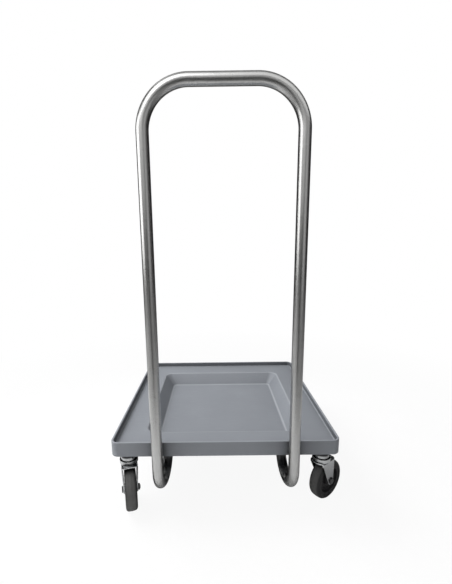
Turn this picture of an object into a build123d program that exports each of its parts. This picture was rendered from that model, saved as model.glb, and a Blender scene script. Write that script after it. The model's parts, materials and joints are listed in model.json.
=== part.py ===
from build123d import *
import math
import os

# Dish rack dolly: a moulded square deck with a recessed middle, a bent tube
# handle that hooks under its front edge, and four swivel plate casters.
# Millimetres. The origin is on the floor under the middle of the deck,
# +Z is up, and the handle stands at the front, which faces -Y.

# Moulded deck
deck_side = 543.0
deck_corner_radius = 18.0
skirt_height = 36.0
skirt_wall = 5.0
deck_wall = 4.0
rim_lip_height = 15.0
ledge_width = 66.5
ledge_fillet = 3.0
lip_edge_radius = 1.6
skirt_edge_radius = 1.2
recess_depth = 35.0
recess_wall_run = 29.0
recess_corner_radius = 24.0
recess_floor_corner_radius = 12.0
recess_edge_radius = 7.0
recess_floor_radius = 9.0
pan_wall_share = 1.3

# Ribs and pads moulded under the deck
rib_thickness = 3.0
rib_depth = 11.0
rib_pitch = 58.0
rib_count = 4
pan_rib_depth = 6.0
pan_rib_length = 190.0
pan_rib_pitch = 70.0
pan_rib_count = 3
pad_margin = 4.0
plate_cover = 4.0
foot_pad_drop = 6.0

# Handle tube, bent in one piece
tube_diameter = 25.4
tube_wall = 1.5
handle_rise = 762.4
handle_bend_radius = 92.0
hook_radius = 55.0
hook_turn = 5.0
handle_gap = 5.0
wheel_hook_clearance = 1.6

# Handle feet under the recess and the fixing of each leg to the skirt
foot_length = 60.0
foot_width = 50.0
foot_thickness = 4.0
foot_corner_radius = 6.0
foot_hole_margin = 8.0
leg_bolt_diameter = 8.0
leg_bolt_head_width = 13.0
leg_bolt_head_height = 5.3
spacer_diameter = 20.0
rivet_nut_wall = 1.5
rivet_nut_length = 12.0
rivet_nut_bulge = 1.8
rivet_nut_bulge_length = 3.0

# Screws and threaded inserts that hold the casters and the feet
screw_diameter = 6.0
screw_length = 11.0
screw_head_width = 8.0
screw_head_height = 4.0
screw_flange_diameter = 11.0
screw_flange_height = 1.2
insert_wall = 1.6
insert_length = 8.0
hole_clearance = 0.3
thread_clearance = 0.05
hexagon_sides = 6
hexagon_edge_share = 0.9

# Wheel
wheel_diameter = 100.0
tread_width = 28.0
tyre_depth = 12.0
tyre_shoulder_radius = 8.0
tread_crown = 1.2
core_rim_depth = 6.0
core_rim_inset = 1.4
web_thickness = 8.0
hub_diameter = 27.0
hub_edge = 0.8
hub_side_gap = 0.3
sleeve_diameter = 12.0
running_clearance = 0.05

# Axle
axle_diameter = 8.0
axle_head_width = 13.0
axle_head_height = 3.5
axle_nut_height = 4.5
axle_end = 1.2

# Fork
caster_inset = 34.0
caster_trail = 20.0
wheel_top_gap = 9.0
fork_thickness = 2.5
fork_side_gap = 1.0
crown_width = 40.0
crown_front = 25.0
crown_corner_radius = 6.0
crown_bend_radius = 5.0
axle_boss_radius = 10.0
leg_straight = 14.0
fork_shoulder_drop = 6.0
fork_shoulder_run = 9.0
fork_shoulder_fillet = 14.0

# Swivel race and top plate
race_radius = 22.0
race_base = 2.0
race_lip_height = 8.5
race_lip_wall = 2.0
ball_diameter = 5.0
ball_circle_radius = 13.5
ball_count = 14
ball_gap = 0.05
dome_radius = 19.0
dome_wall = 2.5
dome_height = 26.4
dome_edge_radius = 4.0
plate_side = 52.0
plate_thickness = 3.0
plate_corner_radius = 4.0
plate_hole_margin = 7.0
kingpin_diameter = 12.0
kingpin_head_diameter = 21.0
kingpin_head_height = 3.5
kingpin_gap = 0.3

# How far each caster is turned at rest, as the trail's direction in degrees
front_left_turn = -74.0
front_right_turn = 37.0
rear_left_turn = 217.0
rear_right_turn = 106.0

# How far a cut runs past a face, and how close an edge is to count as found
cut_overrun = 2.0
edge_tolerance = 0.05

# Heights of a caster, from the floor up
wheel_radius = wheel_diameter / 2
crown_bottom = wheel_diameter + wheel_top_gap
crown_top = crown_bottom + fork_thickness
race_top = crown_top + race_base
ball_height = race_top + ball_diameter / 2 + ball_gap
dome_bottom = ball_height + ball_diameter / 2 + ball_gap
plate_bottom = dome_bottom + dome_height
mount_height = plate_bottom + plate_thickness

# Heights of the deck
skirt_bottom = mount_height - plate_cover
rim_top = skirt_bottom + skirt_height
ledge_top = rim_top - rim_lip_height
ledge_bottom = ledge_top - deck_wall
floor_top = ledge_top - recess_depth
floor_bottom = floor_top - deck_wall

# Plan of the deck and the casters
deck_half = deck_side / 2
inner_half = deck_half - skirt_wall
opening_side = deck_side - 2 * (skirt_wall + ledge_width)
floor_side = opening_side - 2 * recess_wall_run
caster_place = deck_half - caster_inset
wheel_reach = caster_trail + wheel_radius

# The handle stands clear of the front wheels all the way round
tube_radius = tube_diameter / 2
leg_y = -(deck_half + handle_gap + tube_radius)
hook_tan = math.tan(math.radians(hook_turn))
hook_sin = math.sin(math.radians(hook_turn))
hook_cos = math.cos(math.radians(hook_turn))
leg_x = (
    caster_place - wheel_reach - wheel_hook_clearance
    - tube_radius / hook_cos - (leg_y + caster_place) * hook_tan
)
handle_top = rim_top + handle_rise
foot_top = floor_bottom - foot_pad_drop
hook_centre = foot_top - foot_thickness
foot_x = leg_x - 2 * hook_radius * hook_sin
foot_y = leg_y + 2 * hook_radius * hook_cos
leg_bolt_height = (skirt_bottom + ledge_bottom) / 2

# Widths across the wheel, from the tread out
fork_inner_half = tread_width / 2 + fork_side_gap
fork_outer_half = fork_inner_half + fork_thickness
hub_half = fork_inner_half - hub_side_gap
axle_radius = axle_diameter / 2
sleeve_radius = sleeve_diameter / 2
screw_radius = screw_diameter / 2
leg_bolt_radius = leg_bolt_diameter / 2
rivet_nut_radius = leg_bolt_radius + rivet_nut_wall
kingpin_radius = kingpin_diameter / 2
insert_radius = screw_radius + insert_wall


def block(x_size, y_size, low, high):
    """A box centred on the Z axis between two heights."""
    return Pos(0, 0, (low + high) / 2) * Box(x_size, y_size, high - low)


def disc(radius, low, high):
    """A cylinder on the Z axis between two heights."""
    return Pos(0, 0, (low + high) / 2) * Cylinder(radius, high - low)


def ring(outer, inner, low, high):
    """A tube on the Z axis between two heights."""
    return disc(outer, low, high) - disc(inner, low - cut_overrun, high + cut_overrun)


def hexagon(width, low, high):
    """A hexagonal prism on the Z axis, given across its flats."""
    corner_radius = width / 2 / math.cos(math.pi / hexagon_sides)
    prism = extrude(RegularPolygon(corner_radius, hexagon_sides), high - low)
    cone = disc(corner_radius, low, high)
    edge = (corner_radius - width / 2) * hexagon_edge_share
    cone = chamfer(cone.edges().filter_by(GeomType.CIRCLE).sort_by(Axis.Z)[-1], edge)
    return (Pos(0, 0, low) * prism) & cone


def square_prism(side, corner_radius, low, high):
    """A prism with a rounded square plan between two heights."""
    outline = RectangleRounded(side, side, corner_radius)
    return extrude(Pos(0, 0, low) * outline, high - low)


def pan(side_top, side_bottom, radius_top, radius_bottom, high, low):
    """A tapered pan shape with a rounded square plan at each end."""
    top = Pos(0, 0, high) * RectangleRounded(side_top, side_top, radius_top)
    bottom = Pos(0, 0, low) * RectangleRounded(side_bottom, side_bottom, radius_bottom)
    return loft([bottom, top], ruled=True)


def four_ways(shape):
    """The shape turned about the Z axis to face all four sides."""
    return [Rot(0, 0, 90 * turn) * shape for turn in range(4)]


def grid(x_half, y_half):
    """The four corners of a bolt rectangle."""
    return [(i * x_half, j * y_half) for i in (-1, 1) for j in (-1, 1)]


def group(solids):
    """Separate solids kept together as one sub-part."""
    return Compound(children=solids)


def edges_at(body, height):
    """The edges that lie flat at one height."""
    return body.edges().filter_by(
        lambda e: abs(e.bounding_box().max.Z - height) < edge_tolerance
        and abs(e.bounding_box().min.Z - height) < edge_tolerance
    )


def plan_reach(edge):
    """How far an edge lies from the middle of the deck, along X or Y."""
    return max(abs(edge.center().X), abs(edge.center().Y))


# Places of the screws
plate_hole = plate_side / 2 - plate_hole_margin
foot_hole_x = foot_width / 2 - foot_hole_margin
foot_hole_y = foot_length / 2 - foot_hole_margin
corner_signs = {
    "front_left": (-1, -1),
    "front_right": (1, -1),
    "rear_left": (-1, 1),
    "rear_right": (1, 1),
}
corner_turns = {
    "front_left": front_left_turn,
    "front_right": front_right_turn,
    "rear_left": rear_left_turn,
    "rear_right": rear_right_turn,
}
caster_screw_places = [
    (i * caster_place + x, j * caster_place + y)
    for i, j in corner_signs.values()
    for x, y in grid(plate_hole, plate_hole)
]
foot_screw_places = [
    (side * foot_x + x, foot_y + y)
    for side in (-1, 1)
    for x, y in grid(foot_hole_x, foot_hole_y)
]


def make_deck():
    """The deck: skirt, rim lip, ledge, recessed pan, ribs and pads."""
    body = square_prism(deck_side, deck_corner_radius, skirt_bottom, rim_top)
    body = fillet(body.faces().sort_by(Axis.Z)[0].edges(), skirt_edge_radius)
    envelope = body
    under = square_prism(
        2 * inner_half, deck_corner_radius - skirt_wall, skirt_bottom - cut_overrun, ledge_bottom
    )
    body = body - under

    # The pan hangs through the ledge, so its wall is as thick as the ledge
    pan_growth = 2 * deck_wall * pan_wall_share
    pan_outer = pan(
        opening_side + pan_growth, floor_side + pan_growth,
        recess_corner_radius + deck_wall, recess_floor_corner_radius + deck_wall,
        ledge_bottom + deck_wall / 2, floor_bottom,
    )
    body = body + pan_outer

    # Ribs between the skirt and the pan, and under the pan's floor
    rib_reach = inner_half - floor_side / 2
    rib_middle = floor_side / 2 + rib_reach / 2
    ribs = []
    for index in range(rib_count):
        offset = (index - (rib_count - 1) / 2) * rib_pitch
        rib = block(rib_thickness, rib_reach + skirt_wall / 2, ledge_bottom - rib_depth, ledge_bottom)
        ribs += four_ways(Pos(offset, rib_middle, 0) * rib)
    for index in range(pan_rib_count):
        offset = (index - (pan_rib_count - 1) / 2) * pan_rib_pitch
        rib = block(rib_thickness, pan_rib_length, floor_bottom - pan_rib_depth, floor_bottom)
        ribs.append(Pos(offset, 0, 0) * rib)
        ribs.append(Rot(0, 0, 90) * Pos(offset, 0, 0) * rib)
    body = body + ribs

    # A pad over each caster plate and over each handle foot
    pad_side = plate_side + 2 * pad_margin
    pads = []
    for i, j in corner_signs.values():
        pad = block(pad_side, pad_side, mount_height, ledge_bottom + deck_wall / 2)
        pads.append((Pos(i * caster_place, j * caster_place, 0) * pad) & envelope)
    for side in (-1, 1):
        pad = block(
            foot_width + 2 * pad_margin, foot_length + 2 * pad_margin,
            foot_top, ledge_bottom + deck_wall / 2,
        )
        pads.append(Pos(side * foot_x, foot_y, 0) * pad)
    body = body + pads

    # The space inside the rim lip and the recess
    body = body - square_prism(
        2 * inner_half, deck_corner_radius - skirt_wall, ledge_top, rim_top + cut_overrun
    )
    recess = pan(
        opening_side, floor_side, recess_corner_radius, recess_floor_corner_radius,
        ledge_top, floor_top,
    )
    recess = fillet(recess.faces().sort_by(Axis.Z)[0].edges(), recess_floor_radius)
    body = body - recess

    # Soft edges where the ledge turns down, where it meets the lip, and on the lip
    ledge_middle = (opening_side / 2 + inner_half) / 2
    body = fillet(
        edges_at(body, ledge_top).filter_by(lambda e: plan_reach(e) < ledge_middle),
        recess_edge_radius,
    )
    body = fillet(
        edges_at(body, ledge_top).filter_by(lambda e: plan_reach(e) > ledge_middle),
        ledge_fillet,
    )
    body = fillet(body.faces().sort_by(Axis.Z)[-1].edges(), lip_edge_radius)

    # Blind bores for the threaded inserts, and a hole for each leg's bolt
    bores = []
    for x, y in caster_screw_places:
        bores.append(Pos(x, y, mount_height) * disc(insert_radius, -cut_overrun, insert_length))
    for x, y in foot_screw_places:
        bores.append(Pos(x, y, foot_top) * disc(insert_radius, -cut_overrun, insert_length))
    for side in (-1, 1):
        hole = disc(leg_bolt_radius + hole_clearance, -skirt_wall, skirt_wall)
        bores.append(leg_bolt_frame(side) * hole)
    return body - bores


def leg_bolt_frame(side):
    """A frame on the skirt's outer face behind a leg, its Z axis pointing at the leg."""
    return Pos(side * leg_x, -deck_half, leg_bolt_height) * Rot(90, 0, 0)


def make_handle_tube():
    """The handle: a hook under the deck, a leg, the grip, and back down again."""
    left, right = (handle_side_points(side) for side in (-1, 1))
    path = Wire([
        Edge.make_three_point_arc(left["end"], left["low"], left["foot"]),
        Edge.make_line(left["foot"], left["shoulder"]),
        Edge.make_three_point_arc(left["shoulder"], left["bend"], left["grip"]),
        Edge.make_line(left["grip"], right["grip"]),
        Edge.make_three_point_arc(right["grip"], right["bend"], right["shoulder"]),
        Edge.make_line(right["shoulder"], right["foot"]),
        Edge.make_three_point_arc(right["foot"], right["low"], right["end"]),
    ])
    start = Plane(origin=left["end"], z_dir=(0, 0, -1))
    outside = sweep(start * Circle(tube_radius), path=path)
    inside = sweep(start * Circle(tube_radius - tube_wall), path=path)
    tube = outside - inside
    for side in (-1, 1):
        hole = disc(rivet_nut_radius, 0, handle_gap + tube_radius)
        tube = tube - leg_bolt_frame(side) * hole
    return tube


def handle_side_points(side):
    """Points of the tube's centre line on one side of the handle."""
    bend_side = handle_bend_radius * math.sin(math.pi / 4)
    hook_depth = hook_radius * hook_cos
    return {
        "end": (side * foot_x, foot_y, hook_centre),
        "low": (side * (leg_x + foot_x) / 2, leg_y + hook_depth, hook_centre - hook_radius),
        "foot": (side * leg_x, leg_y, hook_centre),
        "shoulder": (side * leg_x, leg_y, handle_top - handle_bend_radius),
        "bend": (
            side * (leg_x - handle_bend_radius + bend_side), leg_y,
            handle_top - handle_bend_radius + bend_side,
        ),
        "grip": (side * (leg_x - handle_bend_radius), leg_y, handle_top),
    }


def make_foot(side):
    """The steel plate welded to a hook's end and screwed up under the deck."""
    plate = extrude(RectangleRounded(foot_width, foot_length, foot_corner_radius), foot_thickness)
    for x, y in grid(foot_hole_x, foot_hole_y):
        hole = disc(screw_radius + hole_clearance, -cut_overrun, foot_thickness + cut_overrun)
        plate = plate - Pos(x, y, 0) * hole
    return Pos(side * foot_x, foot_y, hook_centre) * plate


def make_spacer(side):
    """The saddle spacer between the skirt and a leg."""
    saddle = ring(
        spacer_diameter / 2, leg_bolt_radius + hole_clearance, 0, handle_gap + tube_radius
    )
    leg = Pos(side * leg_x, leg_y, leg_bolt_height) * Cylinder(tube_radius, 2 * spacer_diameter)
    saddle = leg_bolt_frame(side) * saddle - leg
    return saddle.solids().sort_by(Axis.Y)[-1]


def make_leg_bolt(side):
    """The bolt from inside the skirt into a leg's rivet nut."""
    grip = skirt_wall + handle_gap + rivet_nut_length
    shank = disc(leg_bolt_radius, -skirt_wall, grip - skirt_wall)
    head = Pos(0, 0, -skirt_wall) * Rot(180, 0, 0) * hexagon(
        leg_bolt_head_width, 0, leg_bolt_head_height
    )
    return leg_bolt_frame(side) * (shank + head)


def make_rivet_nut(side):
    """The rivet nut set in the back of a leg."""
    nut = ring(
        rivet_nut_radius, leg_bolt_radius + thread_clearance,
        handle_gap, handle_gap + rivet_nut_length,
    )
    bulge = ring(
        rivet_nut_radius + rivet_nut_bulge, leg_bolt_radius + thread_clearance,
        handle_gap, handle_gap + tube_wall + rivet_nut_bulge_length,
    )
    leg = Pos(side * leg_x, leg_y, leg_bolt_height)
    outside = leg * Cylinder(tube_radius, 2 * spacer_diameter)
    inside = leg * Cylinder(tube_radius - tube_wall, 2 * spacer_diameter)
    nut = leg_bolt_frame(side) * nut & outside
    return nut + (leg_bolt_frame(side) * bulge & inside)


def make_screw():
    """A flanged hex screw, its bearing face at the origin and its shank up."""
    flange = disc(screw_flange_diameter / 2, -screw_flange_height, 0)
    head = Rot(180, 0, 0) * hexagon(screw_head_width, 0, screw_head_height)
    return disc(screw_radius, 0, screw_length) + flange + head


def make_insert():
    """A threaded insert, its mouth at the origin."""
    return ring(insert_radius, screw_radius + thread_clearance, 0, insert_length)


def make_top_plate():
    """A caster's square top plate, pressed down into a domed race."""
    plate = square_prism(plate_side, plate_corner_radius, plate_bottom, mount_height)
    cup = disc(dome_radius, dome_bottom, plate_bottom + plate_thickness / 2)
    cup = fillet(cup.edges().filter_by(GeomType.CIRCLE).sort_by(Axis.Z)[0], dome_edge_radius)
    hollow = disc(dome_radius - dome_wall, dome_bottom + dome_wall, mount_height + cut_overrun)
    bore = disc(kingpin_radius, dome_bottom - cut_overrun, mount_height)
    body = plate + cup - hollow - bore
    for x, y in grid(plate_hole, plate_hole):
        hole = disc(screw_radius + hole_clearance, plate_bottom - cut_overrun,
                    mount_height + cut_overrun)
        body = body - Pos(x, y, 0) * hole
    return body


def make_kingpin():
    """The rivet that the fork turns on, with a head above and below."""
    low = crown_bottom - kingpin_gap
    shank = disc(kingpin_radius, low, dome_bottom + dome_wall)
    upper = disc(kingpin_head_diameter / 2, dome_bottom + dome_wall,
                 dome_bottom + dome_wall + kingpin_head_height)
    lower = disc(kingpin_head_diameter / 2, low - kingpin_head_height, low)
    lower = fillet(lower.edges().filter_by(GeomType.CIRCLE).sort_by(Axis.Z)[0],
                   kingpin_head_height / 2)
    return shank + upper + lower


def make_race_balls():
    """The ring of balls that carries the load between fork and top plate."""
    balls = []
    for index in range(ball_count):
        turn = Rot(0, 0, 360 * index / ball_count)
        balls.append(turn * Pos(ball_circle_radius, 0, ball_height) * Sphere(ball_diameter / 2))
    return group(balls)


def make_lower_race():
    """The race cup on the fork, its lip standing up round the dome."""
    base = ring(race_radius, kingpin_radius + running_clearance, crown_top, race_top)
    lip = ring(race_radius, race_radius - race_lip_wall, crown_top, crown_top + race_lip_height)
    cup = base + lip
    return fillet(cup.edges().filter_by(GeomType.CIRCLE).sort_by(Axis.Z)[-2:], race_lip_wall / 4)


def tangent_point(point, centre, radius):
    """Where a line from a point touches a circle on its anticlockwise side."""
    away_x, away_y = point[0] - centre[0], point[1] - centre[1]
    turn = math.atan2(away_y, away_x) + math.acos(radius / math.hypot(away_x, away_y))
    return centre[0] + radius * math.cos(turn), centre[1] + radius * math.sin(turn)


def make_fork():
    """The pressed fork: a crown and two legs that rake back to the axle."""
    crown_half = crown_width / 2
    straight_top = wheel_radius + leg_straight
    low = wheel_radius - 2 * axle_boss_radius
    rear = caster_trail + axle_boss_radius

    # Section across the fork, seen along the trail
    outer = Polygon(
        (-crown_half, crown_top), (crown_half, crown_top), (fork_outer_half, straight_top),
        (fork_outer_half, low), (-fork_outer_half, low), (-fork_outer_half, straight_top),
        align=None,
    )
    outer = fillet(outer.vertices().sort_by(Axis.Y)[-2:], crown_bend_radius)
    inner_top = crown_half - fork_thickness
    inner = Polygon(
        (-inner_top, crown_bottom), (inner_top, crown_bottom), (fork_inner_half, straight_top),
        (fork_inner_half, low - cut_overrun), (-fork_inner_half, low - cut_overrun),
        (-fork_inner_half, straight_top), align=None,
    )
    inner = fillet(inner.vertices().sort_by(Axis.Y)[-2:], crown_bend_radius - fork_thickness)
    across = extrude(Plane.YZ * (outer - inner), rear + crown_front, both=True)

    # Side outline: upright at the back, raked at the front, round at the axle
    axle = (caster_trail, wheel_radius)
    shoulder = (-crown_front + fork_shoulder_run, crown_bottom - fork_shoulder_drop)
    outline = Polygon(
        (-crown_front, crown_top), (-crown_front, crown_bottom), shoulder,
        tangent_point(shoulder, axle, axle_boss_radius), axle,
        (rear, wheel_radius), (rear, crown_top), align=None,
    )
    at_shoulder = outline.vertices().sort_by_distance((*shoulder, 0))[0]
    outline = fillet(at_shoulder, fork_shoulder_fillet)
    outline = outline + Pos(*axle) * Circle(axle_boss_radius)
    side = extrude(Plane.XZ * outline, crown_width, both=True)

    # Plan of the crown: round at the front, square at the back
    plan = Pos(rear / 2, 0) * RectangleRounded(rear, crown_width, crown_corner_radius)
    plan = extrude(plan + Circle(crown_front), crown_top)

    fork = across & side & plan
    fork = fork - disc(kingpin_radius + running_clearance, crown_bottom - cut_overrun,
                       crown_top + cut_overrun)
    return fork - axle_frame() * Cylinder(axle_radius + thread_clearance, 2 * crown_width)


def axle_frame():
    """The wheel's centre in a caster's own frame, its Z axis along the axle."""
    return Pos(caster_trail, 0, wheel_radius) * Rot(90, 0, 0)


def make_axle_bolt():
    """The axle bolt through both legs of the fork."""
    shank = disc(axle_radius, -fork_outer_half - axle_nut_height - axle_end, fork_outer_half)
    head = hexagon(axle_head_width, fork_outer_half, fork_outer_half + axle_head_height)
    return axle_frame() * (shank + head)


def make_axle_nut():
    """The nut on the axle bolt."""
    nut = hexagon(axle_head_width, fork_outer_half, fork_outer_half + axle_nut_height)
    nut = nut - disc(axle_radius + thread_clearance, 0, crown_width)
    return axle_frame() * Rot(180, 0, 0) * nut


def make_axle_sleeve():
    """The steel sleeve that the wheel turns on, clamped between the legs."""
    return axle_frame() * ring(
        sleeve_radius, axle_radius + hole_clearance, -fork_inner_half, fork_inner_half
    )


def make_wheel_core():
    """The wheel's hard core: hub, web and rim."""
    rim_outer = wheel_radius - tyre_depth
    rim_half = tread_width / 2 - core_rim_inset
    hub = disc(hub_diameter / 2, -hub_half, hub_half)
    hub = chamfer(hub.edges().filter_by(GeomType.CIRCLE), hub_edge)
    core = hub + disc(rim_outer - core_rim_depth / 2, -web_thickness / 2, web_thickness / 2)
    core = core + ring(rim_outer, rim_outer - core_rim_depth, -rim_half, rim_half)
    core = core - disc(sleeve_radius + running_clearance, -tread_width, tread_width)
    return axle_frame() * core


def make_tyre():
    """The rubber tyre, with round shoulders and a slight crown."""
    inner = wheel_radius - tyre_depth
    half = tread_width / 2
    seat = half - core_rim_inset
    outline = Polyline(
        (wheel_radius - tread_crown, half), (inner + core_rim_inset, half), (inner, seat),
        (inner, -seat), (inner + core_rim_inset, -half), (wheel_radius - tread_crown, -half),
    )
    tread = ThreePointArc(
        (wheel_radius - tread_crown, -half), (wheel_radius, 0), (wheel_radius - tread_crown, half)
    )
    profile = make_face(outline + tread)
    corners = profile.vertices().sort_by(Axis.X)[-2:]
    profile = fillet(corners, tyre_shoulder_radius)
    return axle_frame() * revolve(Plane.XZ * profile, Axis.Z)


def make_all():
    """Every sub-part by name, in its place."""
    parts = {
        "deck": make_deck(),
        "handle_tube": make_handle_tube(),
        "handle_feet": group([make_foot(side) for side in (-1, 1)]),
        "foot_screws": group([Pos(x, y, hook_centre) * make_screw() for x, y in foot_screw_places]),
        "foot_inserts": group([Pos(x, y, foot_top) * make_insert() for x, y in foot_screw_places]),
        "leg_spacers": group([make_spacer(side) for side in (-1, 1)]),
        "leg_bolts": group([make_leg_bolt(side) for side in (-1, 1)]),
        "leg_rivet_nuts": group([make_rivet_nut(side) for side in (-1, 1)]),
        "caster_screws": group(
            [Pos(x, y, plate_bottom) * make_screw() for x, y in caster_screw_places]
        ),
        "caster_inserts": group(
            [Pos(x, y, mount_height) * make_insert() for x, y in caster_screw_places]
        ),
    }
    fixed = {"top_plate": make_top_plate(), "kingpin": make_kingpin()}
    swivelling = {
        "race_balls": make_race_balls(),
        "lower_race": make_lower_race(),
        "fork": make_fork(),
        "axle_bolt": make_axle_bolt(),
        "axle_nut": make_axle_nut(),
        "axle_sleeve": make_axle_sleeve(),
        "wheel_core": make_wheel_core(),
        "tyre": make_tyre(),
    }
    for corner, (i, j) in corner_signs.items():
        place = Pos(i * caster_place, j * caster_place, 0)
        for name, shape in fixed.items():
            parts[corner + "_" + name] = place * shape
        for name, shape in swivelling.items():
            parts[corner + "_" + name] = place * Rot(0, 0, corner_turns[corner]) * shape
    return parts


os.makedirs("parts", exist_ok=True)
for name, shape in make_all().items():
    export_step(shape, "parts/" + name + ".step")
print("leg_x", round(leg_x, 2), "foot", round(foot_x, 2), round(foot_y, 2))
print("rim", rim_top, "mount", mount_height, "handle top", handle_top + tube_radius)
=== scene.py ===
# %% [markdown]
# # Dressing a dish rack dolly
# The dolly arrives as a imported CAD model: a plastic deck, one bent tube and four casters,
# at their real size in metres, with the floor at height zero. This lesson gives every piece
# its finish, models the pieces whose surface needs more than the CAD mesh holds, and sets
# up a small studio. Nothing from the CAD is moved, because its joints depend on its place.

# %% Load the frame
import json
import math

import bmesh
import bpy
from mathutils import Matrix, Vector


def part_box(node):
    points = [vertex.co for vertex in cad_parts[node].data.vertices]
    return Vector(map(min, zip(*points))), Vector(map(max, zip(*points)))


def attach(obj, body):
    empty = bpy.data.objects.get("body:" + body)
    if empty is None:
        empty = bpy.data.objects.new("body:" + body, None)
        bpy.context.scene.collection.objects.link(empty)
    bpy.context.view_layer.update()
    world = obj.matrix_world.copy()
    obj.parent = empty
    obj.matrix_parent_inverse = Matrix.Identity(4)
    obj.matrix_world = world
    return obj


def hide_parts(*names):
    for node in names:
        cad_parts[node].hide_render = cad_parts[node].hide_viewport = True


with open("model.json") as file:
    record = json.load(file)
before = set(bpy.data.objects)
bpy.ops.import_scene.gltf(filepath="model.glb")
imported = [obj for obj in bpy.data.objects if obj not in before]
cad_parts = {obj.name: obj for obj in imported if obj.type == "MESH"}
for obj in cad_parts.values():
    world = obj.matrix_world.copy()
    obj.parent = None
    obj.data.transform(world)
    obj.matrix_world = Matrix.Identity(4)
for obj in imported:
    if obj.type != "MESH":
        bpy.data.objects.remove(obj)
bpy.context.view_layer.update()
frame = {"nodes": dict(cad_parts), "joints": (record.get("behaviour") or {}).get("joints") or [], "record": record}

MM = 0.001
nodes = frame["nodes"]

# %% [markdown]
# ## The camera
# The photograph was taken from 0.64 m above the floor, a metre in front of the deck's
# middle, looking slightly down. A lens is a width of view, so the camera's focal length
# follows from the picture's height in pixels and the sensor's 36 mm. The picture is a crop
# that isn't centred on the lens, and a small shift repeats that without turning the camera.

# %% Place the camera
picture_width = 452
picture_height = 584
focal_pixels = 342.115
lens_centre_pixel = (213.63, 305.47)
sensor = 36.0
camera_place = Vector((-22.0, -1000.6, 639.05)) * MM
camera_down = math.radians(10.43)
camera_turn = math.radians(-0.12)
camera_roll = math.radians(0.71)

camera_data = bpy.data.cameras.new("camera")
camera = bpy.data.objects.new("camera", camera_data)
bpy.context.scene.collection.objects.link(camera)
bpy.context.scene.camera = camera
camera_data.sensor_width = sensor
camera_data.lens = focal_pixels / picture_height * sensor
camera_data.shift_x = (picture_width / 2 - lens_centre_pixel[0]) / picture_height
camera_data.shift_y = (lens_centre_pixel[1] - picture_height / 2) / picture_height
camera_data.dof.use_dof = False
forward = Vector((
    math.sin(camera_turn) * math.cos(camera_down),
    math.cos(camera_turn) * math.cos(camera_down),
    -math.sin(camera_down),
))
camera.location = camera_place
camera.rotation_mode = "QUATERNION"
level = forward.to_track_quat("-Z", "Y")
camera.rotation_quaternion = level @ Matrix.Rotation(-camera_roll, 3, "Z").to_quaternion()
print("lens", round(camera_data.lens, 2), "shift", round(camera_data.shift_x, 4),
      round(camera_data.shift_y, 4))

# %% [markdown]
# ## Shader nodes as Python
# A material's nodes can be wired one by one, but sums of masks are easier to read as sums.
# The small class below wraps one output socket, so that + - * and / on it add a Math node.
# Every other kind of node comes from one method that takes its type, its settings and what
# goes into its sockets. The ambient occlusion node finds where a surface is closed in, and
# one method turns that into a mask of the hollows, used for painted shade.

# %% A wrapped socket and a material maker
class Value:
    """One output socket of a material, on which Python's operators add Math nodes."""

    def __init__(self, finish, socket):
        self.finish = finish
        self.socket = socket

    def maths(self, operation, first, second=0.0):
        """A Math node of one operation on two values."""
        return self.finish.node(
            "ShaderNodeMath", {"operation": operation}, {0: first, 1: second}
        )

    def __add__(self, other):
        return self.maths("ADD", self, other)

    def __radd__(self, other):
        return self.maths("ADD", other, self)

    def __sub__(self, other):
        return self.maths("SUBTRACT", self, other)

    def __rsub__(self, other):
        return self.maths("SUBTRACT", other, self)

    def __mul__(self, other):
        return self.maths("MULTIPLY", self, other)

    def __truediv__(self, other):
        return self.maths("DIVIDE", self, other)

    def __pow__(self, other):
        return self.maths("POWER", self, other)

    def __abs__(self):
        return self.maths("ABSOLUTE", self)

    def least(self, other):
        """The smaller of two values."""
        return self.maths("MINIMUM", self, other)

    def most(self, other):
        """The larger of two values."""
        return self.maths("MAXIMUM", self, other)


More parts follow.
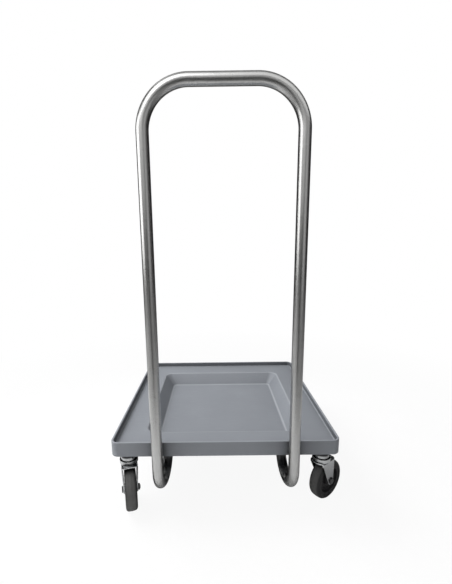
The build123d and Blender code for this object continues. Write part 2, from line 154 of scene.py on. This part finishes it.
class Finish:
    """A material under construction, or a world where its blocks are given."""

    def __init__(self, name, blocks=None):
        blocks = bpy.data.materials if blocks is None else blocks
        self.owner = blocks.new(name)
        self.owner.use_nodes = True
        self.tree = self.owner.node_tree
        self.tree.nodes.clear()

    def node(self, kind, settings=None, sockets=None, output=0):
        """A node of that kind, with its settings made first and its sockets filled after."""
        made = self.tree.nodes.new(kind)
        for setting, value in (settings or {}).items():
            if setting == "stops":
                self.set_stops(made.color_ramp, value)
            else:
                setattr(made, setting, value)
        for socket, value in (sockets or {}).items():
            if isinstance(value, Value):
                self.tree.links.new(value.socket, made.inputs[socket])
            else:
                made.inputs[socket].default_value = value
        return None if output is None else Value(self, made.outputs[output])

    def outputs(self, made, *names):
        """Several outputs of the node that a value came from, by name or number."""
        return [Value(self, made.socket.node.outputs[name]) for name in names]

    def end(self, kind, shader):
        """The last node of a material or of the world."""
        self.node(kind, sockets={"Surface": shader}, output=None)

    def set_stops(self, ramp, stops):
        """Places a ramp's stops, each a position and a grey level."""
        while len(ramp.elements) < len(stops):
            ramp.elements.new(1.0)
        for element, (position, brightness) in zip(ramp.elements, stops):
            element.position = position
            element.color = grey(brightness)

    def place(self, centre=(0, 0, 0), turn=(0, 0, 0)):
        """Object coordinates, read from a centre and along turned axes."""
        coordinates = self.node("ShaderNodeTexCoord", output="Object")
        return self.node(
            "ShaderNodeMapping", {"vector_type": "TEXTURE"},
            {"Vector": coordinates, "Location": centre, "Rotation": turn},
        )

    def axes(self, vector):
        """The three parts of a vector."""
        parts = self.node("ShaderNodeSeparateXYZ", sockets={0: vector})
        return self.outputs(parts, 0, 1, 2)

    def joined(self, x, y, z):
        """A vector from three parts."""
        return self.node("ShaderNodeCombineXYZ", sockets={0: x, 1: y, 2: z})

    def noise(self, vector, size, detail=2.0, roughness=0.5):
        """Soft noise whose blots are about one size across, in metres."""
        sockets = {
            "Vector": vector, "Scale": 1 / size, "Detail": detail, "Roughness": roughness,
        }
        return self.node("ShaderNodeTexNoise", sockets=sockets)

    def ramp(self, value, *stops):
        """A value sent through stops of position and level."""
        return self.node("ShaderNodeValToRGB", {"stops": stops}, {0: value})

    def rise(self, value, low, high):
        """0 up to the low value, 1 from the high one on, and a straight line between."""
        return self.ramp((value - low) / (high - low), (0.0, 0.0), (1.0, 1.0))

    def hollows(self, reach):
        """1 deep in hollows and corners, 0 where nothing stands within reach."""
        openness = self.node(
            "ShaderNodeAmbientOcclusion", {"samples": 8}, {"Distance": reach}, output="AO"
        )
        return self.ramp(openness, (0.3, 1.0), (1.0, 0.0))

    def blend(self, mask, low, high):
        """One colour turning into another as the mask goes from 0 to 1."""
        sockets = {"Factor": mask, 6: low, 7: high}
        return self.node("ShaderNodeMix", {"data_type": "RGBA"}, sockets, output=2)

    def bump(self, height, distance, strength=1.0, under=None):
        """A bump from a height, whose full step is a distance in metres."""
        sockets = {"Height": height, "Distance": distance, "Strength": strength}
        if under is not None:
            sockets["Normal"] = under
        return self.node("ShaderNodeBump", sockets=sockets)

    def surface(self, **sockets):
        """Ends the material in a Principled shader with these sockets."""
        named = {name.replace("_", " ").title(): value for name, value in sockets.items()}
        if "Ior" in named:
            named["IOR"] = named.pop("Ior")
        shader = self.node("ShaderNodeBsdfPrincipled", sockets=named)
        self.end("ShaderNodeOutputMaterial", shader)
        return self.owner


def grey(brightness, more_blue=0.0):
    """A grey as a colour, with a little more or less blue."""
    return (brightness, brightness, brightness + more_blue, 1.0)


def length(first, second):
    """The length of a vector that has two parts."""
    return (first * first + second * second) ** 0.5


print("shader helpers ready")

# %% [markdown]
# ## Moulded plastic of the deck
# The deck is one large moulding in blue-grey plastic. Its surface isn't smooth: the mould
# has a fine sand-like grain that spreads every reflection, and racks that slide over it
# leave faint rubbed streaks and polish the rim, whose top also gets a painted highlight. The
# grain is a small noise in a Bump node, the streaks are noise squeezed along one axis, and
# both also vary the roughness. Painted shade darkens the hollows, mostly on steep faces. The
# rounded edges get a painted highlight, and the upward part of the surface normal tells
# where they are.

# %% Deck plastic
deck_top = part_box("deck")[1].z
deck_dark = (0.27, 0.286, 0.314, 1)
deck_light = (0.352, 0.37, 0.403, 1)
# the paler colour of the painted highlight on rounded edges, and the near black of the painted shade in hollows
deck_highlight_colour = (0.48, 0.5, 0.53, 1)
deck_shade_colour = (0.035, 0.037, 0.04, 1)
deck_reach = 90 * MM
# depth of the rim's top band, which is polished and gets a painted highlight
rim_band_depth = 1.2 * MM
plastic_ior = 1.5


def dress(material, *names):
    """Gives CAD nodes one material."""
    for name in names:
        slots = nodes[name].data.materials
        slots.clear()
        slots.append(material)


def make_deck_plastic():
    """Blue-grey moulded plastic, grained and rubbed, with painted highlights on its rim and edges and painted
    shade in its hollows.
    """
    finish = Finish("deck_plastic")
    where = finish.place()
    x, y, z = finish.axes(where)
    cloud = finish.noise(where, 90 * MM, detail=3.0)
    speck = finish.noise(where, 1.1 * MM)
    grain = finish.noise(where, 0.55 * MM)
    swell = finish.noise(where, 34 * MM, detail=1.0)
    streak = finish.noise(finish.joined(x * 0.12, y, z), 5 * MM, detail=3.0)
    rub = finish.rise(streak, 0.56, 0.72)
    # the rim's top band: real polish in the roughness, painted highlight in the colour
    rim = finish.rise(z, deck_top - rim_band_depth, deck_top)
    upward = finish.axes(finish.node("ShaderNodeNewGeometry", output="Normal"))[2]
    # painted highlight on the rounded edges, found from the upward part of the normal
    edge = finish.ramp(upward, (0.7, 0.0), (0.86, 1.0), (0.95, 1.0), (0.995, 0.0))
    # painted shade in the hollows, stronger on steep faces
    steep = finish.ramp(upward, (0.3, 1.0), (0.95, 0.4))
    painted_shade = finish.hollows(deck_reach) * steep
    shade = cloud * 0.5 + speck * 0.3 + rub * 0.12 + rim * 0.35
    color = finish.blend(shade.least(1.0), deck_dark, deck_light)
    color = finish.blend(painted_shade, color, deck_shade_colour)
    color = finish.blend(edge * 0.55, color, deck_highlight_colour)
    waves = finish.bump(swell, 0.12 * MM)
    return finish.surface(
        base_color=color,
        roughness=0.5 + speck * 0.12 - rub * 0.06 - rim * 0.1,
        normal=finish.bump(grain, 0.035 * MM, strength=0.8, under=waves),
        ior=plastic_ior,
    )


dress(make_deck_plastic(), "deck")
print("deck top", round(deck_top, 4))

# %% [markdown]
# ## Metals, rubber and the other finishes
# Zinc plating on pressed steel is bright but cloudy: the base colour hardly varies, and
# what the eye sees is a patchy roughness with a fine rolled grain. Painted shade darkens
# its hollows, and close under the deck a painted shadow covers the top plates. Black
# plastic and rubber are almost black, so they are told apart by how they scatter the lamps.

# %% Zinc, steel, brass and black plastic
caster_reach = 16 * MM
# near black of the painted shade and the painted shadow on zinc
shade_black = grey(0.02, 0.001)
# near black steel, for the axle bolts and as painted shade on the hooks' far branches
dark_steel_and_shade = grey(0.07, 0.002)


def make_zinc(name, shaded_above=None):
    """Zinc plated steel, cloudy and finely grained, with painted shade in hollows and above a height."""
    finish = Finish(name)
    where = finish.place()
    cloud = finish.noise(where, 7 * MM, detail=4.0, roughness=0.6)
    speck = finish.noise(where, 0.5 * MM)
    color = finish.blend(cloud, (0.58, 0.59, 0.6, 1), (0.74, 0.75, 0.76, 1))
    # painted shade in the zinc's hollows
    painted_shade = (finish.hollows(caster_reach) * 1.5).least(1.0)
    color = finish.blend(painted_shade, color, shade_black)
    # painted shadow of the deck, above a height with a ragged edge
    if shaded_above is not None:
        height = finish.axes(where)[2]
        ragged = height + (cloud - 0.5) * (2 * MM)
        painted_shadow = finish.rise(ragged, shaded_above, shaded_above + 4 * MM)
        color = finish.blend(painted_shadow * 0.95, color, shade_black)
    return finish.surface(
        base_color=color,
        metallic=1.0,
        roughness=0.16 + cloud * 0.1 + speck * 0.06,
        normal=finish.bump(speck, 0.012 * MM, strength=0.6),
    )


def make_turned(name, low, high, roughness):
    """A turned metal with fine specks."""
    finish = Finish(name)
    speck = finish.noise(finish.place(), 0.8 * MM, detail=3.0)
    return finish.surface(
        base_color=finish.blend(speck, low, high),
        metallic=1.0,
        roughness=roughness + speck * 0.15,
        normal=finish.bump(speck, 0.02 * MM, strength=0.5),
    )


def make_black_plastic():
    """Black moulded plastic with a fine grain and a little dust."""
    finish = Finish("black_plastic")
    where = finish.place()
    dust = finish.noise(where, 9 * MM, detail=4.0, roughness=0.6)
    grain = finish.noise(where, 0.4 * MM)
    return finish.surface(
        base_color=finish.blend(dust, grey(0.012, 0.001), grey(0.03, 0.001)),
        roughness=0.42 + dust * 0.2,
        normal=finish.bump(grain, 0.02 * MM, strength=0.7),
        ior=plastic_ior,
    )


# zinc for the top plates, with the painted shadow of the deck over them
grimy_zinc = make_zinc("grimy_zinc", shaded_above=126 * MM)
by_slot = {
    "zinc_steel": make_zinc("zinc_steel"),
    "black_plastic": make_black_plastic(),
    "dark_steel": make_turned("dark_steel", dark_steel_and_shade, grey(0.2, 0.005), 0.22),
    "brass": make_turned("brass", (0.55, 0.4, 0.18, 1), (0.78, 0.6, 0.3, 1), 0.28),
    "bearing_steel": make_turned("bearing_steel", grey(0.6), grey(0.75), 0.1),
}
for part in frame["record"]["subparts"]:
    if part["material_slot"] in by_slot:
        dress(by_slot[part["material_slot"]], part["node"])
print("finishes", sorted(by_slot))

# %% [markdown]
# ## The handle tube
# The handle is one long tube, bent over the grip and hooked under the deck. Its satin
# finish was made by a belt that ran round the tube, so its fine lines lie round it and not
# along it, even where it bends. Lines that follow the bends need a pattern that knows how
# far along the tube a point is. The CAD mesh has no such number, so the tube is swept
# again from a circle, with extrude for the straight runs and spin for the bends, and each
# vertex then stores its place along the tube and round it in an attribute.

# %% Sweep the tube
bar = next(m for m in frame["record"]["mounts"] if m["name"] == "handle_bar")
tube_radius = bar["dims"]["r_mm"] * MM
bar_y, bar_z = bar["pos_m"][1], bar["pos_m"][2]
leg_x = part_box("handle_tube")[1].x - tube_radius
grip_x = bar["dims"]["length_mm"] / 2 * MM
bend_radius = leg_x - grip_x
bend_z = bar_z - bend_radius
foot_width = 50 * MM
feet_low, feet_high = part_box("handle_feet")
hook_end = Vector((feet_high.x - foot_width / 2, (feet_low.y + feet_high.y) / 2, feet_low.z))
hook_start = Vector((leg_x, bar_y, feet_low.z))
hook_centre = (hook_start + hook_end) / 2
hook_radius = (hook_end - hook_start).length / 2
leg_from = grip_x + bend_radius * math.pi / 2
leg_length = bend_z - hook_start.z
hook_from = leg_from + leg_length
tube_sides = 64
bend_steps = 32
leg_steps = 8
hook_steps = 48


def mesh_object(name, mesh, material):
    """An object made from a bmesh, in one material."""
    data = bpy.data.meshes.new(name)
    mesh.to_mesh(data)
    mesh.free()
    data.materials.append(material)
    made = bpy.data.objects.new(name, data)
    bpy.context.scene.collection.objects.link(made)
    return made


def new_piece(name, mesh, material, body):
    """A mesh made into a piece that rides on a body."""
    piece = mesh_object(name, mesh, material)
    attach(piece, body)
    return piece


def smooth_by_angle(piece, degrees):
    """Smooth shading that stops at edges sharper than an angle."""
    data = piece.data
    data.shade_smooth()
    data.set_sharp_from_angle(angle=math.radians(degrees))


def run(mesh, ring, step):
    """Extrudes a ring of edges along a straight run and returns the new ring."""
    made = bmesh.ops.extrude_edge_only(mesh, edges=ring)["geom"]
    ends = [item for item in made if isinstance(item, bmesh.types.BMVert)]
    bmesh.ops.translate(mesh, verts=ends, vec=step)
    return [item for item in made if isinstance(item, bmesh.types.BMEdge)]


def turn(mesh, ring, centre, axis, angle, steps):
    """Spins a ring of edges round an axis and returns the last ring."""
    made = bmesh.ops.spin(
        mesh, geom=ring, cent=centre, axis=axis, angle=angle, steps=steps, use_merge=False
    )["geom_last"]
    return [item for item in made if isinstance(item, bmesh.types.BMEdge)]


def sweep_tube():
    """Half of the tube from the middle of the grip to the end of the hook, then mirrored."""
    mesh = bmesh.new()
    start = Matrix.Translation((0, bar_y, bar_z)) @ Matrix.Rotation(math.pi / 2, 4, "Y")
    bmesh.ops.create_circle(mesh, segments=tube_sides, radius=tube_radius, matrix=start)
    ring = run(mesh, mesh.edges[:], (grip_x, 0, 0))
    ring = turn(mesh, ring, (grip_x, bar_y, bend_z), (0, 1, 0), math.pi / 2, bend_steps)
    for _ in range(leg_steps):
        ring = run(mesh, ring, (0, 0, -leg_length / leg_steps))
    axis = (hook_end - hook_start).cross(Vector((0, 0, 1))).normalized()
    ring = turn(mesh, ring, hook_centre, axis, math.pi, hook_steps)
    bmesh.ops.edgeloop_fill(mesh, edges=ring)
    bmesh.ops.mirror(mesh, geom=mesh.verts[:] + mesh.edges[:] + mesh.faces[:], axis="X",
                     merge_dist=0.01 * MM)
    bmesh.ops.remove_doubles(mesh, verts=mesh.verts[:], dist=0.01 * MM)
    bmesh.ops.recalc_face_normals(mesh, faces=mesh.faces[:])
    return mesh


def along_tube(point):
    """A point's place in the tube's section, and how far along the half tube it is."""
    x, y, z = abs(point.x), point.y, point.z
    if z < hook_start.z:
        towards = (hook_end - hook_start).normalized()
        flat = Vector((x, y, z)) - hook_centre
        level = flat.dot(towards)
        angle = math.atan2(-flat.z, -level)
        out = math.hypot(flat.z, level) - hook_radius
        side = flat.dot(Vector((-towards.y, towards.x, 0)))
        return side, out, hook_from + angle * hook_radius
    if z < bend_z:
        return y - bar_y, x - leg_x, leg_from + (bend_z - z)
    if x > grip_x:
        angle = math.atan2(x - grip_x, z - bend_z)
        out = math.hypot(x - grip_x, z - bend_z) - bend_radius
        return y - bar_y, out, grip_x + angle * bend_radius
    return y - bar_y, z - bar_z, x


def make_satin_steel():
    """Satin stainless steel with belt lines round the tube, and painted shade that turns the hooks' far branches
    near black.
    """
    finish = Finish("satin_steel")
    skin = finish.node("ShaderNodeAttribute", {"attribute_name": "skin"}, output="Vector")
    across, out, along = finish.axes(skin)
    lines = finish.noise(
        finish.joined(across * 0.05, out * 0.05, along), 0.22 * MM, detail=3.0
    )
    bands = finish.noise(finish.joined(across * 0.15, out * 0.15, along), 9 * MM, detail=3.0)
    cloud = finish.noise(skin, 40 * MM, detail=3.0)
    # painted shade: from the bottom of each hook to its end the tube turns near black
    hook_bottom = hook_from + hook_radius * math.pi / 2
    shaded_end = finish.rise(
        along, hook_bottom + 0.1 * hook_radius, hook_bottom + 0.5 * hook_radius
    )
    polished = finish.blend(lines * 0.6 + bands * 0.4, grey(0.5, -0.005), grey(0.66, -0.01))
    return finish.surface(
        base_color=finish.blend(shaded_end * (0.85 + cloud * 0.15), polished, dark_steel_and_shade),
        metallic=1.0,
        roughness=0.2 + lines * 0.12 + cloud * 0.06,
        normal=finish.bump(lines, 0.012 * MM, strength=0.5),
    )


satin_steel = make_satin_steel()
handle = new_piece("handle", sweep_tube(), satin_steel, "frame")
skin = handle.data.attributes.new("skin", "FLOAT_VECTOR", "POINT")
for vertex in handle.data.vertices:
    skin.data[vertex.index].vector = along_tube(vertex.co)
smooth_by_angle(handle, degrees=40)
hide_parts("handle_tube")
dress(satin_steel, "handle_feet")
print("handle", len(handle.data.polygons), "faces", "hook radius", round(hook_radius, 4))

# %% [markdown]
# ## Welds at the hook ends
# Each hook ends on a plate that is screwed up under the deck, and a weld runs round the
# joint. The weld is a small ring, spun from a few points, whose radius swells and shrinks a
# little with every step that the welder took.

# %% Weld the hooks to their feet
weld_size = 3.2 * MM
weld_ripples = 26
ripple_steps = 8
ripple_height = 0.28 * MM


def lathe(points, steps, matrix, rounded=()):
    """Spins a closed outline of (radius, height) points about Z, some corners rounded."""
    mesh = bmesh.new()
    outline = [mesh.verts.new((radius, 0, height)) for radius, height in points]
    for pair in zip(outline, outline[1:] + outline[:1]):
        mesh.edges.new(pair)
    for index, radius in rounded:
        bmesh.ops.bevel(
            mesh, geom=[outline[index]], offset=radius, offset_type="OFFSET", segments=4,
            profile=0.5, affect="VERTICES", material=-1,
        )
    bmesh.ops.spin(
        mesh, geom=mesh.verts[:] + mesh.edges[:], cent=(0, 0, 0), axis=(0, 0, 1),
        angle=math.tau, steps=steps, use_merge=True,
    )
    bmesh.ops.remove_doubles(mesh, verts=mesh.verts[:], dist=0.001 * MM)
    bmesh.ops.recalc_face_normals(mesh, faces=mesh.faces[:])
    bmesh.ops.transform(mesh, matrix=matrix, verts=mesh.verts[:])
    return mesh


def make_weld(centre):
    """The bead round a hook's end, against the underside of its foot plate."""
    inside = tube_radius - 0.6 * MM
    outline = [
        (inside, 0),
        (tube_radius + weld_size, 0),
        (tube_radius + weld_size * 0.8, -weld_size * 0.55),
        (tube_radius + weld_size * 0.45, -weld_size * 0.85),
        (tube_radius, -weld_size),
        (inside, -weld_size),
    ]
    mesh = lathe(outline, weld_ripples * ripple_steps, Matrix.Translation(centre))
    for vertex in mesh.verts:
        spoke = Vector((vertex.co.x - centre.x, vertex.co.y - centre.y, 0))
        outside = spoke.length - tube_radius
        if outside > 0.1 * MM:
            phase = math.atan2(spoke.y, spoke.x) * weld_ripples
            swell = ripple_height * outside / weld_size * math.cos(phase)
            vertex.co += spoke.normalized() * swell
    return mesh


for side, sign in {"left": -1, "right": 1}.items():
    centre = Vector((sign * hook_end.x, hook_end.y, hook_end.z))
    bead = make_weld(centre)
    weld = new_piece(side + "_weld", bead, satin_steel, "frame")
    smooth_by_angle(weld, degrees=50)
print("welds at", [round(v, 4) for v in hook_end])

# %% [markdown]
# ## The wheels
# Each tyre is black rubber, dull on its sides and rubbed to a dusty grey where it rolls.
# Tyre and core are rings, so each outline is drawn once as a few points and spun about the
# axle. A material that should turn with a wheel needs that wheel's own centre, so each
# corner gets its own copy, with the pattern centred and turned to its axle.

# %% Corner frames and tyre rubber
corners = {}
for joint in frame["joints"]:
    if joint["name"].endswith("_spin"):
        axle = Vector(joint["axis"])
        hub = Vector(joint["pos_m"])
        turned = math.atan2(-axle.x, axle.y)
        corners[joint["name"].removesuffix("_spin")] = {
            "hub": hub,
            "turn": turned,
            "wheel": Matrix.Translation(hub) @ Matrix.Rotation(turned, 4, "Z")
            @ Matrix.Rotation(-math.pi / 2, 4, "X"),
        }
wheel_radius = corners["front_left"]["hub"].z


def make_rubber(name, corner):
    """Tyre rubber with a dusty tread, dull black sides and painted shade in its hollows."""
    finish = Finish(name)
    where = finish.place(corner["hub"], (0, 0, corner["turn"]))
    x, _, z = finish.axes(where)
    tread = finish.rise(length(x, z), wheel_radius - 2.8 * MM, wheel_radius - 0.2 * MM)
    dust = finish.noise(where, 6 * MM, detail=4.0, roughness=0.6)
    speck = finish.noise(where, 0.6 * MM, detail=3.0)
    wear = tread * (0.65 + dust * 0.35)
    color = finish.blend(wear, grey(0.018), (0.145, 0.144, 0.141, 1))
    return finish.surface(
        # painted shade: the tyre's hollows turn near black
        base_color=finish.blend(finish.hollows(caster_reach), color, grey(0.006)),
        roughness=0.55 + wear * 0.3,
        normal=finish.bump(speck, 0.05 * MM, strength=0.7),
        ior=plastic_ior,
    )


print("corners", {name: round(math.degrees(c["turn"])) for name, c in corners.items()})

# %% Tyres and wheel cores
tread_width = 28 * MM
tyre_seat = wheel_radius - 12 * MM
bore_radius = 6.05 * MM
hub_half = tread_width / 2 + 0.7 * MM
wheel_steps = 128


def lathe_wheel(corner, half, fillets):
    """A ring round an axle, from half its outline and a radius for each rounded point."""
    points = half + [(radius, -height) for radius, height in reversed(half)]
    last = len(points) - 1
    rounded = [
        (place, radius) for index, radius in fillets.items()
        for place in (index, last - index)
    ]
    return lathe(points, wheel_steps, corner["wheel"], rounded)


def make_tyre(corner):
    """A tyre with a fine mould line, round shoulders and a ring on each side."""
    half_width = tread_width / 2
    half = [
        (wheel_radius, 0.3 * MM),
        (wheel_radius - 0.2 * MM, 0.9 * MM),
        (wheel_radius - 0.5 * MM, half_width * 0.5),
        (wheel_radius - 1.2 * MM, half_width - 0.1 * MM),
        (wheel_radius - 9.0 * MM, half_width - 0.1 * MM),
        (wheel_radius - 9.3 * MM, half_width - 0.5 * MM),
        (wheel_radius - 10.0 * MM, half_width - 0.5 * MM),
        (wheel_radius - 10.3 * MM, half_width),
        (tyre_seat + 1.4 * MM, half_width),
        (tyre_seat, half_width - 1.4 * MM),
    ]
    return lathe_wheel(corner, half, {3: 6.6 * MM})


def make_core(corner):
    """A wheel core: hub, web with two raised rings, and rim."""
    rim_half = tread_width / 2 - 1.4 * MM
    web = 4 * MM
    ring = web + 0.8 * MM
    half = [
        (tyre_seat - 0.05 * MM, rim_half - 0.5 * MM),
        (tyre_seat - 0.6 * MM, rim_half),
        (tyre_seat - 5.2 * MM, rim_half),
        (tyre_seat - 5.7 * MM, rim_half - 0.5 * MM),
        (tyre_seat - 6.4 * MM, web + 0.2 * MM),
        (27.5 * MM, web),
        (27.0 * MM, ring),
        (25.4 * MM, ring),
        (24.9 * MM, web),
        (19.5 * MM, web),
        (19.0 * MM, ring),
        (17.8 * MM, ring),
        (14.4 * MM, web + 0.3 * MM),
        (13.5 * MM, hub_half - 0.8 * MM),
        (12.7 * MM, hub_half),
        (bore_radius + 0.7 * MM, hub_half),
        (bore_radius, hub_half - 0.7 * MM),
    ]
    return lathe_wheel(corner, half, {4: 2.4 * MM, 12: 1.8 * MM})


for name, corner in corners.items():
    rubber = make_rubber(name + "_rubber", corner)
    plastic = by_slot["black_plastic"]
    body = name + "_wheel"
    tyre = new_piece(name + "_tyre_ring", make_tyre(corner), rubber, body)
    core = new_piece(name + "_core_disc", make_core(corner), plastic, body)
    smooth_by_angle(tyre, degrees=35)
    smooth_by_angle(core, degrees=35)
    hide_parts(name + "_tyre")
    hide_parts(name + "_wheel_core")
print("tyre faces", len(tyre.data.polygons), "core faces", len(core.data.polygons))

# %% [markdown]
# ## Forks, plates and fasteners with soft edges
# Pressed and turned steel has no sharp edges: each one is slightly rounded and catches a
# thin line of light. The CAD mesh of such a piece is loose triangles, so a copy is merged,
# its flat faces are joined, and the edges where two faces meet at a clear angle are
# bevelled.

# %% Soften the steel pieces
flat_angle = math.radians(0.5)
sharp_angle = math.radians(35)
soft_edges = {
    "fork": 0.5 * MM, "top_plate": 0.4 * MM, "kingpin": 0.3 * MM,
    "axle_bolt": 0.25 * MM, "axle_nut": 0.25 * MM,
}


def softened(node, width):
    """A copy of a CAD node's mesh with its sharp edges rounded."""
    mesh = bmesh.new()
    mesh.from_mesh(nodes[node].data)
    bmesh.ops.remove_doubles(mesh, verts=mesh.verts[:], dist=0.002 * MM)
    bmesh.ops.dissolve_limit(
        mesh, angle_limit=flat_angle, verts=mesh.verts[:], edges=mesh.edges[:]
    )
    sharp = [
        edge for edge in mesh.edges
        if len(edge.link_faces) == 2 and edge.calc_face_angle() > sharp_angle
    ]
    bmesh.ops.bevel(
        mesh, geom=sharp, offset=width, offset_type="OFFSET", segments=2, profile=0.5,
        affect="EDGES", clamp_overlap=True, material=-1,
    )
    return mesh


for name in corners:
    for part, width in soft_edges.items():
        node = name + "_" + part
        body = "frame" if part in ("top_plate", "kingpin") else name + "_caster"
        slot = "dark_steel" if part in ("axle_bolt", "axle_nut") else "zinc_steel"
        # the top plates take the zinc with the painted shadow of the deck
        material = grimy_zinc if part == "top_plate" else by_slot[slot]
        piece = new_piece(node + "_soft", softened(node, width), material, body)
        smooth_by_angle(piece, degrees=40)
        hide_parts(node)
print("softened", sorted(soft_edges))

# %% [markdown]
# ## The studio
# A product photograph is lit by large soft lamps. Here one on the left gives the tube its
# long highlight, one above lights the deck, and four weaker ones lift what is left. The
# white background comes from the world and the floor as camera, glossy and clear rays see
# them, not from more light, and far from the dolly the floor fades to white. Metal shows
# what stands round it, so photographers put grey cards outside the picture. Here they are
# a wall, a ceiling card, a mat on the floor and a dark camera stand. The camera doesn't
# see them, and they give the tube its dark core and edges. The mat carries a painted
# shadow under the dolly, and the wall painted light on the camera's side. Two of the lamps
# would show in the metal too, and their reflections are switched off.

# %% Floor, wall, lamps and world
floor_side = 18.0
floor_level = -0.2 * MM
mat_level = -0.1 * MM
wall_radius = 4.0
wall_height = 2.6
card_width = 8.0
card_depth = 4.6
card_y = 1.7
stand_place = (-0.02, -1.3, 0)
stand_radius = 0.24
stand_height = 0.75
room_light = 0.2


def stage_piece(name, mesh, material):
    """A piece of the studio."""
    piece = mesh_object(name, mesh, material)
    return piece


def seen_by_camera(finish):
    """1 for rays that show the background, 0 for rays that light the object."""
    rays = finish.node("ShaderNodeLightPath")
    camera_ray, glossy_ray, clear_ray = finish.outputs(
        rays, "Is Camera Ray", "Is Glossy Ray", "Is Transmission Ray"
    )
    return camera_ray.most(glossy_ray).most(clear_ray)


def make_floor_finish():
    """White paper that keeps a faint shadow and fades into the background."""
    finish = Finish("floor_paper")
    where = finish.place()
    x, y, _ = finish.axes(where)
    fibre = finish.noise(where, 4 * MM, detail=3.0)
    far = finish.rise(length(x, y), 0.5, 1.5)
    paper = finish.node("ShaderNodeBsdfDiffuse", sockets={
        "Color": finish.blend(fibre, grey(0.76), grey(0.82)),
    })
    white = finish.node("ShaderNodeEmission", sockets={"Color": grey(1.0)})
    shadow = (1 - far) * 0.07
    whiteness = seen_by_camera(finish) * (1 - shadow)
    mixed = finish.node("ShaderNodeMixShader", sockets={0: whiteness, 1: paper, 2: white})
    finish.end("ShaderNodeOutputMaterial", mixed)
    return finish.owner


def make_mat_finish():
    """A grey mat, pale round the dolly, with a painted shadow under it, and darker behind it and further out."""
    finish = Finish("floor_mat")
    where = finish.place()
    x, y, _ = finish.axes(where)
    weave = finish.noise(where, 3 * MM)
    # painted shadow of the dolly on the mat
    shadow_under_deck = 1 - finish.rise(abs(x).most(abs(y)), 0.14, 0.29)
    far = finish.rise(length(x, y), 0.6, 1.0)
    behind = finish.rise(y, 0.3, 0.7)
    pale = (1 - shadow_under_deck * 0.9) * (1 - far * 0.5) * (1 - behind * 0.7)
    return finish.surface(
        base_color=finish.blend(pale * (0.96 + weave * 0.04), grey(0.02), grey(0.8)),
        roughness=1.0,
    )


def make_card_finish(name, low, high):
    """Grey card or paint, with painted light that makes it lighter on the camera's side of the room."""
    finish = Finish(name)
    where = finish.place()
    y = finish.axes(where)[1]
    patch = finish.noise(where, 0.4)
    # painted light: lighter on the camera's side of the room
    front = finish.rise(0.5 - y / (2 * wall_radius), 0.4, 0.95)
    return finish.surface(
        base_color=finish.blend(front * (0.9 + patch * 0.1), grey(low), grey(high)),
        roughness=0.9,
    )


def make_lamp(name, place, aim, size, power, mirrored=True):
    """A soft lamp with a flat face, turned towards a point."""
    data = bpy.data.lights.new(name, "AREA")
    data.shape = "RECTANGLE"
    data.size, data.size_y = size
    data.energy = power
    lamp = bpy.data.objects.new(name, data)
    bpy.context.scene.collection.objects.link(lamp)
    lamp.location = place
    lamp.rotation_euler = (Vector(aim) - Vector(place)).to_track_quat("-Z", "Y").to_euler()
    lamp.visible_glossy = mirrored


def flat_mesh(width, depth, place):
    """A sheet that lies level."""
    mesh = bmesh.new()
    bmesh.ops.create_grid(
        mesh, x_segments=4, y_segments=4, size=0.5,
        matrix=Matrix.Translation(place) @ Matrix.Diagonal((width, depth, 1, 1)),
    )
    return mesh


def round_wall(radius, height, segments, place=(0, 0, 0)):
    """A standing round wall without a roof or a floor."""
    mesh = bmesh.new()
    bmesh.ops.create_circle(
        mesh, segments=segments, radius=radius, matrix=Matrix.Translation(place)
    )
    run(mesh, mesh.edges[:], (0, 0, height))
    return mesh


stage_piece(
    "floor", flat_mesh(floor_side, floor_side, (0, 0, floor_level)), make_floor_finish()
)
mat = stage_piece(
    "mat", flat_mesh(floor_side, floor_side, (0, 0, mat_level)), make_mat_finish()
)
wall = stage_piece(
    "wall", round_wall(wall_radius, wall_height, segments=48),
    make_card_finish("wall_paint", low=0.06, high=0.24),
)
card = stage_piece(
    "ceiling_card", flat_mesh(card_width, card_depth, (0, card_y, wall_height)),
    make_card_finish("card", low=0.6, high=0.8),
)
stand = stage_piece(
    "camera_stand", round_wall(stand_radius, stand_height, segments=24, place=stand_place),
    make_card_finish("dark_cloth", low=0.05, high=0.07),
)
for unseen in (mat, wall, card, stand):
    unseen.visible_camera = False
for shadowless in (mat, stand):
    shadowless.visible_shadow = False

make_lamp("left_lamp", (-2.0, -0.7, 1.15), aim=(0, 0, 0.45), size=(1.9, 1.4), power=18)
make_lamp("key_lamp", (-0.72, -1.45, 2.15), aim=(0, -0.2, 0.9), size=(1.25, 1.1), power=10)
make_lamp("front_lamp", (-0.8, -3.0, 1.5), aim=(0, 0, 0.6), size=(2.8, 1.2), power=5)
make_lamp(
    "top_lamp", (-1.5, 0.5, 2.2), aim=(0, 0, 0.2), size=(1.5, 1.5), power=58, mirrored=False
)
make_lamp(
    "fill_lamp", (2.3, 1.6, 1.3), aim=(0, 0, 0.15), size=(1.4, 1.4), power=10, mirrored=False
)
make_lamp("right_lamp", (1.54, -2.0, 0.9), aim=(0, 0, 0.5), size=(1.7, 1.4), power=3)

sky = Finish("world", bpy.data.worlds)
bpy.context.scene.world = sky.owner
backdrop = sky.node("ShaderNodeBackground", sockets={"Color": grey(1.0)})
room = sky.node("ShaderNodeBackground", sockets={"Color": grey(1.0), "Strength": room_light})
mixed = sky.node(
    "ShaderNodeMixShader", sockets={0: seen_by_camera(sky), 1: room, 2: backdrop}
)
sky.end("ShaderNodeOutputWorld", mixed)
bpy.context.scene.view_settings.view_transform = "Standard"
print("studio ready")
